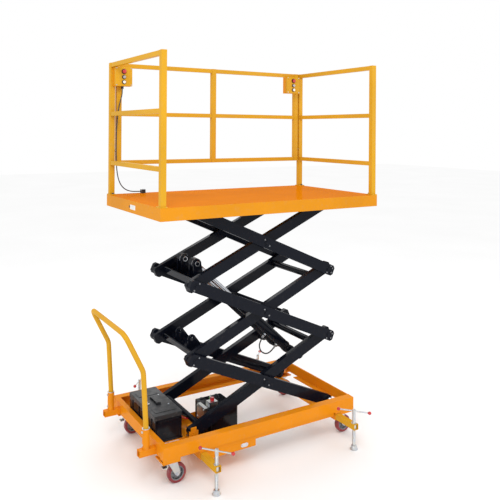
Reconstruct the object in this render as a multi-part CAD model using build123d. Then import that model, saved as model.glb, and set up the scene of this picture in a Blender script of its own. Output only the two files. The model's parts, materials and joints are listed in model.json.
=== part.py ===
from build123d import *
import os
from math import cos, pi, radians, sin, tan

# Mobile three-stage scissor lift table with guard rails.
# Millimetres, +Z up, +X along the table away from the push handle.
# The origin is on the floor, at the middle of the whole table's footprint.

# ---- driving dimensions: deck and guard ----
DECK_LENGTH = 1806.0
DECK_WIDTH = 1020.0
DECK_TOP = 1811.0
DECK_RIGHT = 994.0
DECK_PLATE = 5.0
SKIRT_HEIGHT = 85.0
SKIRT_THICK = 4.0
GUARD_HEIGHT = 1000.0
POST_SIZE = 38.0
RAIL_SIZE = 32.0
TUBE_WALL = 2.5
POST_INSET_X = 26.0
POST_Y = 481.0
MID_RAIL_Z = 613.0
LOW_RAIL_Z = 242.0
PANEL_GAP = 14.0

# ---- driving dimensions: base ----
BASE_LEFT = -767.0
BASE_RIGHT = 798.0
BASE_HALF_WIDTH = 476.0
RAIL_TOP = 280.0
RAIL_HEIGHT = 80.0
RAIL_FLANGE = 60.0
RAIL_WALL = 5.0
CORNER_PLATE = 8.0
CASTER_HEIGHT = 172.0

# ---- driving dimensions: scissor linkage ----
ARM_LENGTH = 1236.0
ARM_DEPTH = 80.0
ARM_WIDTH = 40.0
ARM_WALL = 4.0
ARM_OVERHANG = 50.0
ROLLER_OVERHANG = 27.0
ARM_CHAMFER = 16.0
REST_ANGLE = 24.0
PIVOT_X = -469.0
PIVOT_Z = 236.0
OUTER_ARM_Y = 322.0
INNER_ARM_Y = 276.0
PIN_RADIUS = 15.0
RUNNING_GAP = 0.06
OPEN_PIVOT_GAP = 0.3
ROLLER_RADIUS = 27.0
ROLLER_GAP = 0.3

# ---- driving dimensions: lift cylinders, in the arms' own directions ----
CYLINDER_Y = 100.0
BARREL_FOOT_ALONG = 0.8 * ARM_LENGTH
BARREL_FOOT_ACROSS = -45.0
ROD_PIN_ALONG = 140.0
ROD_PIN_ACROSS = 60.0
BARREL_RADIUS = 36.0
BORE_RADIUS = 29.0
BARREL_LENGTH = 700.0
ROD_RADIUS = 19.0
CLEVIS_PIN_RADIUS = 12.0
EYE_CLEARANCE = 16.0

# ---- driving dimensions: running gear ----
WHEEL_RADIUS = 65.0
WHEEL_WIDTH = 36.0
CASTER_TRAIL = 38.0
CASTER_X = (-677.0, 718.0)
CASTER_Y = 396.0
JACK_X = (-481.0, 648.0)
JACK_Y = 657.0
JACK_SCREW_RADIUS = 12.0
JACK_BAR_Z = 275.0
JACK_BAR_HALF = 113.0
JACK_BAR_TURN = -50.0
JACK_ARM = 40.0
SLEEVE = 50.0
SLEEVE_TOP = 192.0
ARM_INSET = 356.0

# ---- driving dimensions: push handle, battery, power unit ----
HANDLE_X = -829.5
HANDLE_Y = 338.0
HANDLE_TUBE = 17.0
HANDLE_TOP = 1000.0
HANDLE_BAR_X = -977.0
BATTERY_BOX = (-720.0, -524.0, -232.0, 238.0, 196.0, 350.0)
TANK_BOX = (-296.0, -80.0, -238.0, 30.0, 132.0, 315.0)

DECK_LEFT = DECK_RIGHT - DECK_LENGTH
STAGE_RUN = ARM_LENGTH * cos(radians(REST_ANGLE))
STAGE_RISE = ARM_LENGTH * sin(radians(REST_ANGLE))
RAIL_BOTTOM = RAIL_TOP - RAIL_HEIGHT
RIGHT_PIN_X = PIVOT_X + STAGE_RUN
TOP_PIN_Z = PIVOT_Z + 3 * STAGE_RISE

os.makedirs("parts", exist_ok=True)


# ---- shape helpers ----
def block(x0, x1, y0, y1, z0, z1):
    """A box between two corners."""
    centre = Pos((x0 + x1) / 2, (y0 + y1) / 2, (z0 + z1) / 2)
    return centre * Box(x1 - x0, y1 - y0, z1 - z0)


def rod(start, end, radius):
    """A round bar between two points."""
    a = Vector(*start)
    b = Vector(*end)
    plane = Plane(origin=a, z_dir=(b - a))
    return extrude(plane * Circle(radius), amount=(b - a).length)


def pipe(start, end, outer, inner):
    """A round tube between two points, open at both ends."""
    return rod(start, end, outer) - rod(start, end, inner)


def cross_bar(x, z, y0, y1, radius):
    """A round bar along Y."""
    return rod((x, y0, z), (x, y1, z), radius)


def square_tube(x0, x1, y0, y1, z0, z1, axis, wall=TUBE_WALL):
    """A hollow rectangular tube, open along the named axis."""
    trim = {"X": (0, wall, wall), "Y": (wall, 0, wall), "Z": (wall, wall, 0)}[axis]
    inner = block(
        x0 + trim[0], x1 - trim[0], y0 + trim[1], y1 - trim[1], z0 + trim[2], z1 - trim[2]
    )
    return block(x0, x1, y0, y1, z0, z1) - inner


def prism_y(points, y0, y1):
    """An outline in the XZ plane, extruded along Y."""
    outline = Polyline(*[(x, y0, z) for x, z in points], close=True)
    return extrude(make_face(outline), amount=y1 - y0, dir=(0, 1, 0))


def both_sides(make):
    """Builds a piece for the front side (-1) and the back side (+1)."""
    return [make(-1), make(1)]


def span(side, near, far):
    """The Y limits of a piece that lies between two distances from the middle."""
    return (near, far) if side > 0 else (-far, -near)


def write(node, solids):
    """Writes one node, made of one or more separate solids."""
    solids = solids if isinstance(solids, list) else [solids]
    flat = []
    for item in solids:
        flat.extend(item.solids())
    shape = flat[0] if len(flat) == 1 else Compound(children=flat)
    export_step(shape, "parts/" + node + ".step")


# ---- scissor linkage ----
def arm_frame(x, z, angle):
    """The place of a frame that lies along an arm, tilted up by angle degrees."""
    return Pos(x, 0, z) * Rot(0, -angle, 0)


def arm_solid(side, mid_y, low_over, high_over, holes):
    """A hollow arm along X with its first pivot at 0, and bushes round its pin holes."""
    half = ARM_DEPTH / 2
    cut = ARM_CHAMFER
    left = -low_over
    right = ARM_LENGTH + high_over
    y0, y1 = span(side, mid_y - ARM_WIDTH / 2, mid_y + ARM_WIDTH / 2)
    outline = [
        (left, cut - half),
        (left + cut, -half),
        (right - cut, -half),
        (right, cut - half),
        (right, half - cut),
        (right - cut, half),
        (left + cut, half),
        (left, half - cut),
    ]
    arm = prism_y(outline, y0, y1)
    inset = ARM_CHAMFER + ARM_WALL
    inner = half - ARM_WALL
    arm -= block(left + inset, right - inset, y0 + ARM_WALL, y1 - ARM_WALL, -inner, inner)
    for x, radius in holes:
        arm += cross_bar(x, 0, y0, y1, radius + 9)
    for x, radius in holes:
        arm -= cross_bar(x, 0, y0 - 1, y1 + 1, radius)
    return arm


def pin(x, side, near, far, radius=PIN_RADIUS):
    """A pivot pin along Y, in the arm's own frame."""
    y0, y1 = span(side, near, far)
    return cross_bar(x, 0, y0, y1, radius)


PINNED = PIN_RADIUS
TURNING = PIN_RADIUS + RUNNING_GAP
OPEN = PIN_RADIUS + OPEN_PIVOT_GAP
OUTER_FACE = OUTER_ARM_Y + ARM_WIDTH / 2
INNER_FACE = INNER_ARM_Y - ARM_WIDTH / 2
PIN_NEAR = INNER_FACE - 4
PIN_FAR = OUTER_FACE + 6
AXLE_RADIUS = 12.0
PLATE_TOP = -26.0
PLATE_END = 150.0
LUG_RADIUS = 32.0
LUG_THICK = 12.0
FOOT_TUBE_RADIUS = 20.0


def clevis_lug(y_mid, along, across):
    """An upright lug with a round top and a pin hole, standing on the cross plate."""
    y0 = y_mid - LUG_THICK / 2
    y1 = y_mid + LUG_THICK / 2
    outline = [
        (along - 70, PLATE_TOP),
        (PLATE_END, PLATE_TOP),
        (along + LUG_RADIUS, across),
        (along - LUG_RADIUS, across),
    ]
    lug = prism_y(outline, y0, y1) + cross_bar(along, across, y0, y1, LUG_RADIUS)
    return lug - cross_bar(along, across, y0 - 1, y1 + 1, CLEVIS_PIN_RADIUS)


def inner_stage(stage):
    """The two inner arms of a stage, their pins and their cross members, along X."""
    low_hole = TURNING if stage == 1 else OPEN
    high_over = ROLLER_OVERHANG if stage == 3 else ARM_OVERHANG
    high_hole = AXLE_RADIUS if stage == 3 else PINNED
    low_over = ROLLER_OVERHANG if stage == 1 else ARM_OVERHANG
    holes = [(0, low_hole), (ARM_LENGTH / 2, PINNED), (ARM_LENGTH, high_hole)]
    solids = both_sides(lambda s: arm_solid(s, INNER_ARM_Y, low_over, high_over, holes))
    solids += both_sides(lambda s: pin(ARM_LENGTH / 2, s, PIN_NEAR, PIN_FAR))
    if stage < 3:
        solids += both_sides(lambda s: pin(ARM_LENGTH, s, PIN_NEAR, PIN_FAR))
    if stage == 3:
        axle_end = OUTER_ARM_Y + 28
        solids += both_sides(lambda s: pin(ARM_LENGTH, s, INNER_FACE, axle_end, AXLE_RADIUS))
    return solids


def inner_ties(stage):
    """The cross members between the two inner arms of a stage."""
    inside = INNER_FACE
    high_tube = cross_bar(ARM_LENGTH - 120, 0, -inside, inside, 25)
    if stage == 1:
        foot_x = BARREL_FOOT_ALONG
        foot_z = BARREL_FOOT_ACROSS
        tie = cross_bar(66, 11, -inside, inside, 20)
        foot_tube = cross_bar(foot_x, foot_z, -inside, inside, FOOT_TUBE_RADIUS)
        cheeks = []
        for side in (-1, 1):
            y0, y1 = span(side, inside - LUG_THICK, inside)
            cheek = block(foot_x - 45, foot_x + 45, y0, y1, foot_z, 30)
            cheek += cross_bar(foot_x, foot_z, y0, y1, LUG_RADIUS)
            cheeks.append(cheek - cross_bar(foot_x, foot_z, y0 - 1, y1 + 1, FOOT_TUBE_RADIUS))
        return [tie, foot_tube, high_tube] + cheeks
    plate = block(22, PLATE_END, -inside, inside, PLATE_TOP - 8, PLATE_TOP)
    lip = block(22, 30, -inside, inside, PLATE_TOP, 24)
    return [plate + lip, high_tube]


def place(solids, frame):
    """Moves a list of solids from an arm's own frame to their place on the table."""
    return [frame * solid for solid in solids]


def outer_stage(stage):
    """The two outer arms of a stage with their pins, along X from the upper left end."""
    low_over = ARM_OVERHANG
    high_over = ROLLER_OVERHANG if stage == 1 else ARM_OVERHANG
    top_hole = TURNING if stage == 3 else PINNED
    low_hole = AXLE_RADIUS if stage == 1 else TURNING
    holes = [(0, top_hole), (ARM_LENGTH / 2, TURNING), (ARM_LENGTH, low_hole)]
    solids = both_sides(lambda s: arm_solid(s, OUTER_ARM_Y, low_over, high_over, holes))
    if stage < 3:
        solids += both_sides(lambda s: pin(0, s, PIN_NEAR, PIN_FAR))
    if stage == 1:
        near = OUTER_ARM_Y - ARM_WIDTH / 2
        solids += both_sides(lambda s: pin(ARM_LENGTH, s, near, 410, AXLE_RADIUS))
    return solids


for stage in (1, 2, 3):
    low_z = PIVOT_Z + (stage - 1) * STAGE_RISE
    rising = arm_frame(PIVOT_X, low_z, REST_ANGLE)
    falling = arm_frame(PIVOT_X, low_z + STAGE_RISE, -REST_ANGLE)
    write("inner_arms_%d" % stage, place(inner_stage(stage), rising))
    write("outer_arms_%d" % stage, place(outer_stage(stage), falling))
    ties = inner_ties(stage)
    if stage == 3:
        for middle in (-CYLINDER_Y, CYLINDER_Y):
            for offset in (-34, 34):
                ties.append(clevis_lug(middle + offset, ROD_PIN_ALONG, ROD_PIN_ACROSS))
            clevis_pin = cross_bar(
                ROD_PIN_ALONG, ROD_PIN_ACROSS, middle - 48, middle + 48, CLEVIS_PIN_RADIUS
            )
            ties.append(clevis_pin)
    if stage == 2:
        for middle in (-CYLINDER_Y, CYLINDER_Y):
            ties.append(clevis_lug(middle, 104, 34))
    write("inner_ties_%d" % stage, place(ties, rising))


# ---- rollers ----
def roller(x, z, side, near, far):
    """A plain roller on its axle."""
    y0, y1 = span(side, near, far)
    body = cross_bar(x, z, y0, y1, ROLLER_RADIUS)
    return body - cross_bar(x, z, y0 - 1, y1 + 1, AXLE_RADIUS + RUNNING_GAP)


write("base_rollers", both_sides(lambda s: roller(RIGHT_PIN_X, PIVOT_Z, s, 352, 398)))
write("deck_rollers", both_sides(lambda s: roller(RIGHT_PIN_X, TOP_PIN_Z, s, 302, 346)))


# ---- lift cylinders ----
def arm_point(stage, along, across):
    """A point given along and across a rising inner arm, as X and Z."""
    angle = radians(REST_ANGLE)
    x = PIVOT_X + along * cos(angle) - across * sin(angle)
    z = PIVOT_Z + (stage - 1) * STAGE_RISE + along * sin(angle) + across * cos(angle)
    return Vector(x, 0, z)


barrel_foot = arm_point(1, BARREL_FOOT_ALONG, BARREL_FOOT_ACROSS)
rod_pin = arm_point(3, ROD_PIN_ALONG, ROD_PIN_ACROSS)
cylinder_line = (rod_pin - barrel_foot).normalized()
cylinder_length = (rod_pin - barrel_foot).length


def on_line(distance, y):
    """A point on a cylinder's centre line, measured from its foot."""
    p = barrel_foot + cylinder_line * distance
    return (p.X, y, p.Z)


def cylinder_barrel(y):
    """A barrel with its foot eye round the cross tube and its gland at the mouth."""
    x = barrel_foot.X
    z = barrel_foot.Z
    mouth = BARREL_LENGTH
    body = rod(on_line(34, y), on_line(mouth, y), BARREL_RADIUS)
    body += cross_bar(x, z, y - 36, y + 36, 34)
    body -= cross_bar(x, z, y - 40, y + 40, FOOT_TUBE_RADIUS + RUNNING_GAP)
    body -= rod(on_line(60, y), on_line(mouth - 40, y), BORE_RADIUS)
    return body - rod(on_line(mouth - 50, y), on_line(mouth + 1, y), ROD_RADIUS + RUNNING_GAP)


def gland_ring(y):
    """The wiper ring at the mouth of a barrel."""
    mouth = BARREL_LENGTH
    return pipe(on_line(mouth, y), on_line(mouth + 14, y), 31, ROD_RADIUS + RUNNING_GAP)


def cylinder_rod(y):
    """A chromed rod with its piston and its open eye."""
    eye_outer = CLEVIS_PIN_RADIUS + EYE_CLEARANCE + 8
    hole = CLEVIS_PIN_RADIUS + EYE_CLEARANCE
    piston_at = cylinder_length - 590
    shaft = rod(on_line(piston_at, y), on_line(cylinder_length - hole - 4, y), ROD_RADIUS)
    shaft += rod(on_line(piston_at, y), on_line(piston_at + 40, y), BORE_RADIUS - RUNNING_GAP)
    eye = cross_bar(rod_pin.X, rod_pin.Z, y - 24, y + 24, eye_outer)
    eye -= cross_bar(rod_pin.X, rod_pin.Z, y - 25, y + 25, hole)
    shaft -= cross_bar(rod_pin.X, rod_pin.Z, y - 25, y + 25, eye_outer)
    return [shaft, eye]


def hose(points):
    """A hydraulic hose held at both ends, with arcs as large as its runs allow."""
    corners = [Vector(*p) for p in points]
    radii = []
    for i in range(1, len(corners) - 1):
        before = corners[i] - corners[i - 1]
        after = corners[i + 1] - corners[i]
        half_turn = radians(before.get_angle(after)) / 2
        radii.append(0.45 * min(before.length, after.length) / tan(half_turn))
    path = FilletPolyline(*corners, radius=radii)
    return path, radii


def tube_along(points, radius, name):
    """A solid tube along a route, and a printed note of its arcs and its volume."""
    path, radii = hose(points)
    section = Plane(origin=path @ 0, z_dir=path % 0) * Circle(radius)
    tube = sweep(section, path=path)
    print(name, "length %.1f" % path.length, "radii", [round(r, 1) for r in radii])
    expected = pi * radius**2 * path.length
    print(name, "volume %.0f" % tube.volume, "section x length %.0f" % expected)
    return tube


HOSE_RADIUS = 5.0
PORTS = (120.0, 262.0)
PORT_DROP = 52.0
UNDERSIDE = Vector(-cylinder_line.Z, 0, cylinder_line.X)


def under_barrel(along, drop):
    """A point below the front cylinder, at a distance along it from its foot."""
    p = barrel_foot + cylinder_line * along + UNDERSIDE * drop
    return (p.X, -CYLINDER_Y, p.Z)


hose_route = [
    under_barrel(PORTS[0], PORT_DROP),
    under_barrel(PORTS[0], 98),
    under_barrel(146, 146),
    under_barrel(208, 158),
    under_barrel(PORTS[1], 118),
    under_barrel(PORTS[1], PORT_DROP),
]


ports = []
for along in PORTS:
    ports.append(rod(under_barrel(along, BARREL_RADIUS), under_barrel(along, PORT_DROP), 9))
barrels = []
rods = []
for y in (-CYLINDER_Y, CYLINDER_Y):
    barrels += [cylinder_barrel(y), gland_ring(y)]
    rods += cylinder_rod(y)
write("cylinder_barrels", barrels + ports)
write("cylinder_rods", rods)


# ---- base frame ----
def channel_rail(side):
    """A side rail: a channel that opens inward."""
    web_far = BASE_HALF_WIDTH
    y0, y1 = span(side, web_far - RAIL_FLANGE, web_far)
    rail = block(BASE_LEFT, BASE_RIGHT, y0, y1, RAIL_BOTTOM, RAIL_TOP)
    i0, i1 = span(side, web_far - RAIL_FLANGE - 1, web_far - RAIL_WALL)
    rail -= block(
        BASE_LEFT - 1, BASE_RIGHT + 1, i0, i1, RAIL_BOTTOM + RAIL_WALL, RAIL_TOP - RAIL_WALL
    )
    return rail


def sub_rail(side):
    """A lower tube set back under a side rail, between the two outriggers."""
    y0, y1 = span(side, BASE_HALF_WIDTH - 52, BASE_HALF_WIDTH - 8)
    return square_tube(
        JACK_X[0] + 30, JACK_X[1] - 30, y0, y1, CASTER_HEIGHT, RAIL_BOTTOM, "X", 3
    )


CORNER_LENGTH = 122.0
RIGHT_CORNER = BASE_RIGHT - CORNER_LENGTH


def corner_plate(side, left):
    """The plate that a caster bolts to."""
    x0 = BASE_LEFT if left else RIGHT_CORNER
    y0, y1 = span(side, BASE_HALF_WIDTH - 130, BASE_HALF_WIDTH)
    return block(x0, x0 + CORNER_LENGTH, y0, y1, CASTER_HEIGHT, CASTER_HEIGHT + CORNER_PLATE)


def corner_spacer(side, left):
    """A short upright plate that closes the corner below the rail."""
    x0 = BASE_LEFT if left else RIGHT_CORNER
    y0, y1 = span(side, BASE_HALF_WIDTH - 56, BASE_HALF_WIDTH)
    return square_tube(
        x0, x0 + CORNER_LENGTH, y0, y1, CASTER_HEIGHT + CORNER_PLATE, RAIL_BOTTOM, "X", 4
    )


END_BEAM_X = BASE_LEFT + 40
END_PLATE = 8.0
frame_solids = both_sides(channel_rail) + both_sides(sub_rail)
for left in (True, False):
    for side in (-1, 1):
        frame_solids.append(corner_plate(side, left))
        frame_solids.append(corner_spacer(side, left))
end_half = BASE_HALF_WIDTH - RAIL_FLANGE
frame_solids.append(
    square_tube(BASE_LEFT, END_BEAM_X, -end_half, end_half, RAIL_BOTTOM, RAIL_TOP, "Y", 4)
)
end_plate_x = BASE_RIGHT - END_PLATE
frame_solids.append(block(end_plate_x, BASE_RIGHT, -end_half, end_half, RAIL_BOTTOM, RAIL_TOP))
frame_solids.append(
    block(end_plate_x - 50, end_plate_x, -236, 236, RAIL_BOTTOM, RAIL_BOTTOM + 6)
)
left_tube_end = JACK_X[0] + SLEEVE / 2
frame_solids.append(block(END_BEAM_X, left_tube_end, -240, 240, SLEEVE_TOP, BATTERY_BOX[4]))


def roller_track(side):
    """The wear strip that a base roller runs on, inside its rail."""
    y0, y1 = span(side, 350, BASE_HALF_WIDTH - RAIL_WALL)
    top = PIVOT_Z - ROLLER_RADIUS - ROLLER_GAP
    low = RAIL_BOTTOM + RAIL_WALL
    return block(RIGHT_PIN_X - 70, BASE_RIGHT - END_PLATE, y0, y1, low, top)


frame_solids += both_sides(roller_track)


def pivot_plate(y0, y1):
    """One cheek of the bracket that holds an inner arm's lower pin."""
    plate = block(PIVOT_X - 34, PIVOT_X + 34, y0, y1, SLEEVE_TOP, PIVOT_Z + 20)
    plate += block(PIVOT_X - 20, PIVOT_X + 20, y0, y1, PIVOT_Z, PIVOT_Z + 44)
    return plate - cross_bar(PIVOT_X, PIVOT_Z, y0 - 1, y1 + 1, PIN_RADIUS)


pivot_plates = []
for side in (-1, 1):
    for near, far in ((242, 251), (301, 310)):
        y0, y1 = span(side, near, far)
        pivot_plates.append(pivot_plate(y0, y1))
    y0, y1 = span(side, 236, 316)
    pivot_plates.append(cross_bar(PIVOT_X, PIVOT_Z, y0, y1, PIN_RADIUS))
write("pivot_brackets", pivot_plates)


# ---- push handle ----
def handle_path():
    """The handle's centre line: two upright legs that lean back to a cross bar."""
    lean_x = HANDLE_X - 20
    corners = [
        (HANDLE_X, -HANDLE_Y, 262),
        (HANDLE_X, -HANDLE_Y, 388),
        (lean_x, -HANDLE_Y, 742),
        (HANDLE_BAR_X, -HANDLE_Y, HANDLE_TOP),
        (HANDLE_BAR_X, HANDLE_Y, HANDLE_TOP),
        (lean_x, HANDLE_Y, 742),
        (HANDLE_X, HANDLE_Y, 388),
        (HANDLE_X, HANDLE_Y, 262),
    ]
    return FilletPolyline(*corners, radius=[300, 110, 60, 60, 110, 300])


handle_line = handle_path()
ring = Plane(origin=handle_line @ 0, z_dir=handle_line % 0) * (
    Circle(HANDLE_TUBE) - Circle(HANDLE_TUBE - TUBE_WALL)
)
write("push_handle", sweep(ring, path=handle_line))

SOCKET_OUTER = 24.0
SOCKET_BORE = HANDLE_TUBE + 1.6
sockets = []
for side in (-1, 1):
    y = side * HANDLE_Y
    stub = square_tube(HANDLE_X - 52, BASE_LEFT, y - 23, y + 23, 200, 242, "X", 3)
    sockets.append(stub)
    sockets.append(pipe((HANDLE_X, y, 242), (HANDLE_X, y, 372), SOCKET_OUTER, SOCKET_BORE))
write("handle_sockets", sockets)


# ---- battery box, power unit and tray ----
bx0, bx1, by0, by1, bz0, bz1 = BATTERY_BOX
box_wall = 4.0
battery_shell = block(bx0, bx1, by0, by1, bz0, bz1)
battery_shell -= block(
    bx0 + box_wall, bx1 - box_wall, by0 + box_wall, by1 - box_wall, bz0 + box_wall, bz1 + 1
)
write("battery_box", battery_shell)
cells = []
for y0, y1 in ((by0 + 12, -2), (8, by1 - 12)):
    cells.append(block(bx0 + 14, bx1 - 14, y0, y1, bz0 + box_wall, bz1 - 18))
write("batteries", cells)
LID_RIM = 5.0
lid = block(bx0 - LID_RIM, bx1 + LID_RIM, by0 - LID_RIM, by1 + LID_RIM, bz1 + 0.5, bz1 + 30)
lid -= block(bx0 + 6, bx1 - 6, by0 + 6, by1 - 6, bz1, bz1 + 24)
lid = chamfer(lid.edges().filter_by(Axis.Z), 8)
write("battery_lid", lid)

TANK_WALL = 5.0
tx0, tx1, ty0, ty1, tz0, tz1 = TANK_BOX
tank = block(tx0, tx1, ty0, ty1, tz0, tz1)
tank = fillet(tank.edges().filter_by(Axis.Z), 14)
tank -= block(
    tx0 + TANK_WALL, tx1 - TANK_WALL, ty0 + TANK_WALL, ty1 - TANK_WALL, tz0 + TANK_WALL, tz1 - TANK_WALL
)
filler = rod((tx0 + 150, ty1 - 60, tz1), (tx0 + 150, ty1 - 60, tz1 + 24), 17)
write("oil_tank", [tank, filler])
MOTOR_RADIUS = 45.0
motor_z = tz0 + MOTOR_RADIUS + 2
motor = rod((tx0 - 132, -150, motor_z), (tx0 - 32, -150, motor_z), MOTOR_RADIUS)
pump = block(tx0 - 32, tx0, -205, -60, tz0 + 2, 226)
manifold = block(tx0 - 32, tx0, -190, -70, 226, 330)
valve = block(tx0 + 4, tx0 + 74, -200, -140, tz1, tz1 + 52)
release_knob = rod((tx0 + 40, -170, tz1 + 52), (tx0 + 40, -170, tz1 + 76), 15)
write("pump_unit", [motor, pump, manifold, valve, release_knob])

TRAY_BOTTOM = 126.0
tray_x0 = left_tube_end + 2
tray_x1 = -71.0
tray_y0 = -BASE_HALF_WIDTH + 8
tray = block(tray_x0, tray_x1, tray_y0, tray_y0 + 5, TRAY_BOTTOM, CASTER_HEIGHT)
tray += block(tray_x0, tray_x1, tray_y0, 130, TRAY_BOTTOM, TRAY_BOTTOM + 5)
tray += block(tray_x0, tray_x1, 125, 130, TRAY_BOTTOM, CASTER_HEIGHT)
slot_x = -157.0
tray -= block(slot_x - 22, slot_x + 10, tray_y0 - 1, tray_y0 + 6, 146, 160)
frame_solids.append(tray)


# ---- casters ----
def caster_fork(x, y):
    """A swivel fork with its head, two cheeks and its axle, trailing towards +X."""
    axle_x = x + CASTER_TRAIL
    cheeks = []
    for side in (-1, 1):
        y0, y1 = span(side, WHEEL_WIDTH / 2 + 4, WHEEL_WIDTH / 2 + 8)
        outline = [(x - 30, 146), (x + 34, 146), (axle_x + 18, 70), (axle_x, 48), (axle_x - 18, 62)]
        cheeks.append(prism_y(outline, y + y0, y + y1))
    crown_y = WHEEL_WIDTH / 2 + 8
    crown = block(x - 30, x + 34, y - crown_y, y + crown_y, 140, 146)
    head = rod((x, y, 146), (x, y, 163.5), 30)
    axle = cross_bar(axle_x, WHEEL_RADIUS, y - crown_y - 8, y + crown_y + 8, 6)
    fork = crown + cheeks[0] + cheeks[1] + head
    fork -= cross_bar(axle_x, WHEEL_RADIUS, y - 60, y + 60, 6)
    return [fork, axle]


def caster_wheel(x, y):
    """A tyre on a core, with a bore that runs on the axle."""
    axle_x = x + CASTER_TRAIL
    half = WHEEL_WIDTH / 2
    disc = cross_bar(axle_x, WHEEL_RADIUS, y - half, y + half, WHEEL_RADIUS)
    disc = fillet(disc.edges(), 6)
    core = cross_bar(axle_x, WHEEL_RADIUS, y - half - 2, y + half + 2, 47)
    tyre = disc - cross_bar(axle_x, WHEEL_RADIUS, y - 40, y + 40, 47)
    core -= cross_bar(axle_x, WHEEL_RADIUS, y - 40, y + 40, 6 + RUNNING_GAP)
    return [tyre, core]


def brake_pedal(x, y):
    """A brake lever across the fork, on the handle side."""
    tread = block(x - 62, x - 31, y - 18, y + 18, 112, 118)
    return tread + block(x - 36, x - 31, y - 18, y + 18, 112, 138)


corner_names = {
    (-1, 0): "front_left",
    (1, 0): "back_left",
    (-1, 1): "front_right",
    (1, 1): "back_right",
}
top_plates = []
for (side, end), corner in corner_names.items():
    x = CASTER_X[end]
    y = side * CASTER_Y
    write("caster_fork_" + corner, caster_fork(x, y))
    write("caster_wheel_" + corner, caster_wheel(x, y))
    if end == 0:
        write("brake_pedal_" + corner, brake_pedal(x, y))
    top_plates.append(block(x - 42, x + 42, y - 42, y + 42, 164, CASTER_HEIGHT))
write("caster_plates", top_plates)


# ---- outriggers ----
def cross_tube(x):
    """The fixed tube across the base, under both side rails, that two outriggers slide in."""
    half = SLEEVE / 2
    reach = BASE_HALF_WIDTH
    return square_tube(x - half, x + half, -reach, reach, SLEEVE_TOP - SLEEVE, SLEEVE_TOP, "Y", 4)


def tube_pad(side, x):
    """The packing plate between a cross tube and a side rail."""
    y0, y1 = span(side, BASE_HALF_WIDTH - RAIL_FLANGE, BASE_HALF_WIDTH)
    return block(x - SLEEVE / 2, x + SLEEVE / 2, y0, y1, SLEEVE_TOP, RAIL_BOTTOM)


def outrigger_arm(side, x):
    """A tube that slides out of its sleeve, with the jack's nut through its end."""
    y0, y1 = span(side, ARM_INSET, JACK_Y + 26)
    half = JACK_ARM / 2
    mid = SLEEVE_TOP - SLEEVE / 2
    arm = square_tube(x - half, x + half, y0, y1, mid - half, mid + half, "Y", 3)
    nut_y = side * JACK_Y
    arm -= rod((x, nut_y, mid - 40), (x, nut_y, mid + 40), 19)
    nut = pipe((x, nut_y, mid - 24), (x, nut_y, mid + 24), 19, JACK_SCREW_RADIUS + 0.1)
    return [arm, nut]


def jack_screw(side, x):
    """A spindle with its cross bar and two balls."""
    y = side * JACK_Y
    stem = rod((x, y, 22), (x, y, JACK_BAR_Z + 12), JACK_SCREW_RADIUS)
    turn = radians(JACK_BAR_TURN * -side)
    dx = JACK_BAR_HALF * cos(turn)
    dy = JACK_BAR_HALF * sin(turn)
    ends = [(x - dx, y - dy, JACK_BAR_Z), (x + dx, y + dy, JACK_BAR_Z)]
    bar = rod(ends[0], ends[1], 5)
    stem -= bar
    balls = []
    for end in ends:
        balls.append(Pos(*end) * Sphere(12) - bar)
    return [stem, bar] + balls


def jack_foot(side, x):
    """A cone-shaped foot that the spindle's tip turns in."""
    y = side * JACK_Y
    foot = Pos(x, y, 15) * Cone(29, 18, 30)
    return foot - rod((x, y, 21.9), (x, y, 31), JACK_SCREW_RADIUS + 0.1)


for (side, end), corner in corner_names.items():
    x = JACK_X[end]
    write("outrigger_arm_" + corner, outrigger_arm(side, x))
    write("jack_screw_" + corner, jack_screw(side, x))
    write("jack_foot_" + corner, jack_foot(side, x))
    frame_solids.append(tube_pad(side, x))
frame_solids += [cross_tube(x) for x in JACK_X]
write("base_frame", frame_solids)


# ---- deck ----
deck_under = DECK_TOP - DECK_PLATE
half_width = DECK_WIDTH / 2
skirt = block(DECK_LEFT, DECK_RIGHT, -half_width, half_width, DECK_TOP - SKIRT_HEIGHT, DECK_TOP)
skirt -= block(
    DECK_LEFT + SKIRT_THICK,
    DECK_RIGHT - SKIRT_THICK,
    SKIRT_THICK - half_width,
    half_width - SKIRT_THICK,
    DECK_TOP - SKIRT_HEIGHT - 1,
    deck_under,
)
write("deck_plate", skirt)

under_solids = []
bearer_half = half_width - SKIRT_THICK
for x in (-170, 90, 330):
    bearer = square_tube(
        x - 20, x + 20, -bearer_half, bearer_half, deck_under - 40, deck_under, "Y", 3
    )
    under_solids.append(bearer)


def deck_channel(side):
    """A channel that holds a deck roller from above and below."""
    y0, y1 = span(side, 300, 358)
    x0 = RIGHT_PIN_X - 75
    x1 = RIGHT_PIN_X + 165
    low = TOP_PIN_Z - ROLLER_RADIUS - ROLLER_GAP - 6
    channel = block(x0, x1, y0, y1, low, deck_under)
    i0, i1 = span(side, 299, 352)
    top = TOP_PIN_Z + ROLLER_RADIUS + ROLLER_GAP
    return channel - block(x0 - 1, x1 + 1, i0, i1, low + 6, top)


def deck_lug(side, near, far):
    """One cheek of the bracket that an outer arm's upper end is pinned to."""
    y0, y1 = span(side, near, far)
    lug = block(PIVOT_X - 40, PIVOT_X + 40, y0, y1, TOP_PIN_Z - 14, deck_under)
    lug += cross_bar(PIVOT_X, TOP_PIN_Z, y0, y1, 24)
    return lug - cross_bar(PIVOT_X, TOP_PIN_Z, y0 - 1, y1 + 1, PIN_RADIUS)


under_solids += both_sides(deck_channel)
for side in (-1, 1):
    under_solids.append(deck_lug(side, 288, 298))
    under_solids.append(deck_lug(side, 346, 356))
    y0, y1 = span(side, 282, 362)
    under_solids.append(cross_bar(PIVOT_X, TOP_PIN_Z, y0, y1, PIN_RADIUS))
write("deck_underframe", under_solids)


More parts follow.
